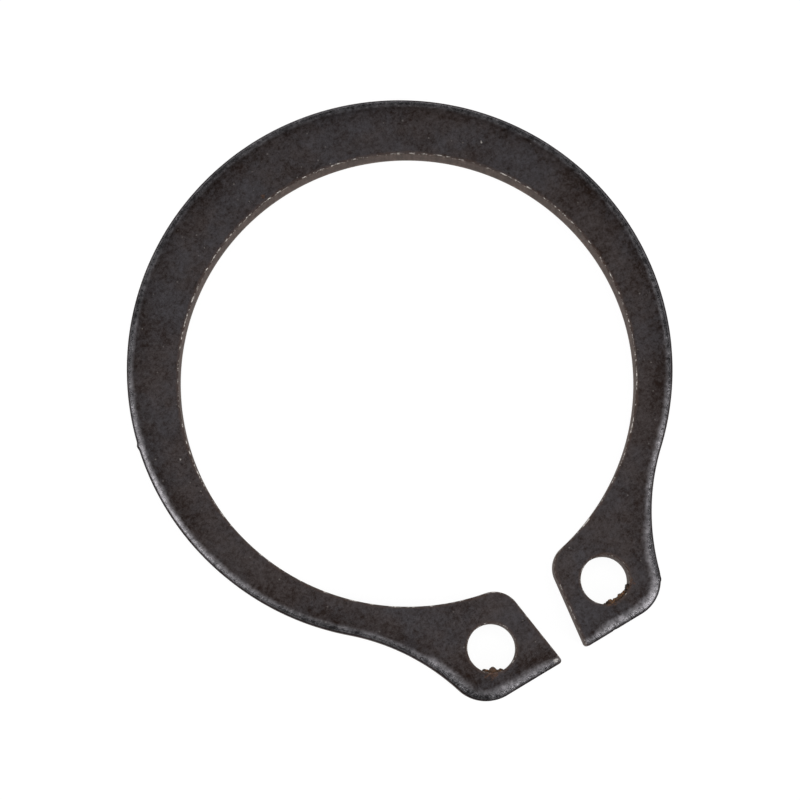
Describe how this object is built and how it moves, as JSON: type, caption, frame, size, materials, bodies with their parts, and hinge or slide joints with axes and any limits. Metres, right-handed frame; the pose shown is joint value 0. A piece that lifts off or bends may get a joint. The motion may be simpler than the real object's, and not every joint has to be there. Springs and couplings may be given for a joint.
{
  "type": "external retaining ring",
  "caption": "Flat external retaining ring of spring steel with plier-hole lugs at its gap, which snaps into a shaft groove and holds parts on the shaft.",
  "frame": {"origin": "centre of the bore, on the underside", "axes": "+Z along the bore axis, out of the face with the rolled outer edge; the lugs and the gap point to -Y; X is across the plane of symmetry"},
  "size_m": [0.022, 0.0245, 0.0012],
  "materials": {
    "black_spring_steel": "black oxide, oiled, satin"
  },
  "bodies": {
    "root": {"retaining_ring": "black_spring_steel"}
  },
  "joints": []
}
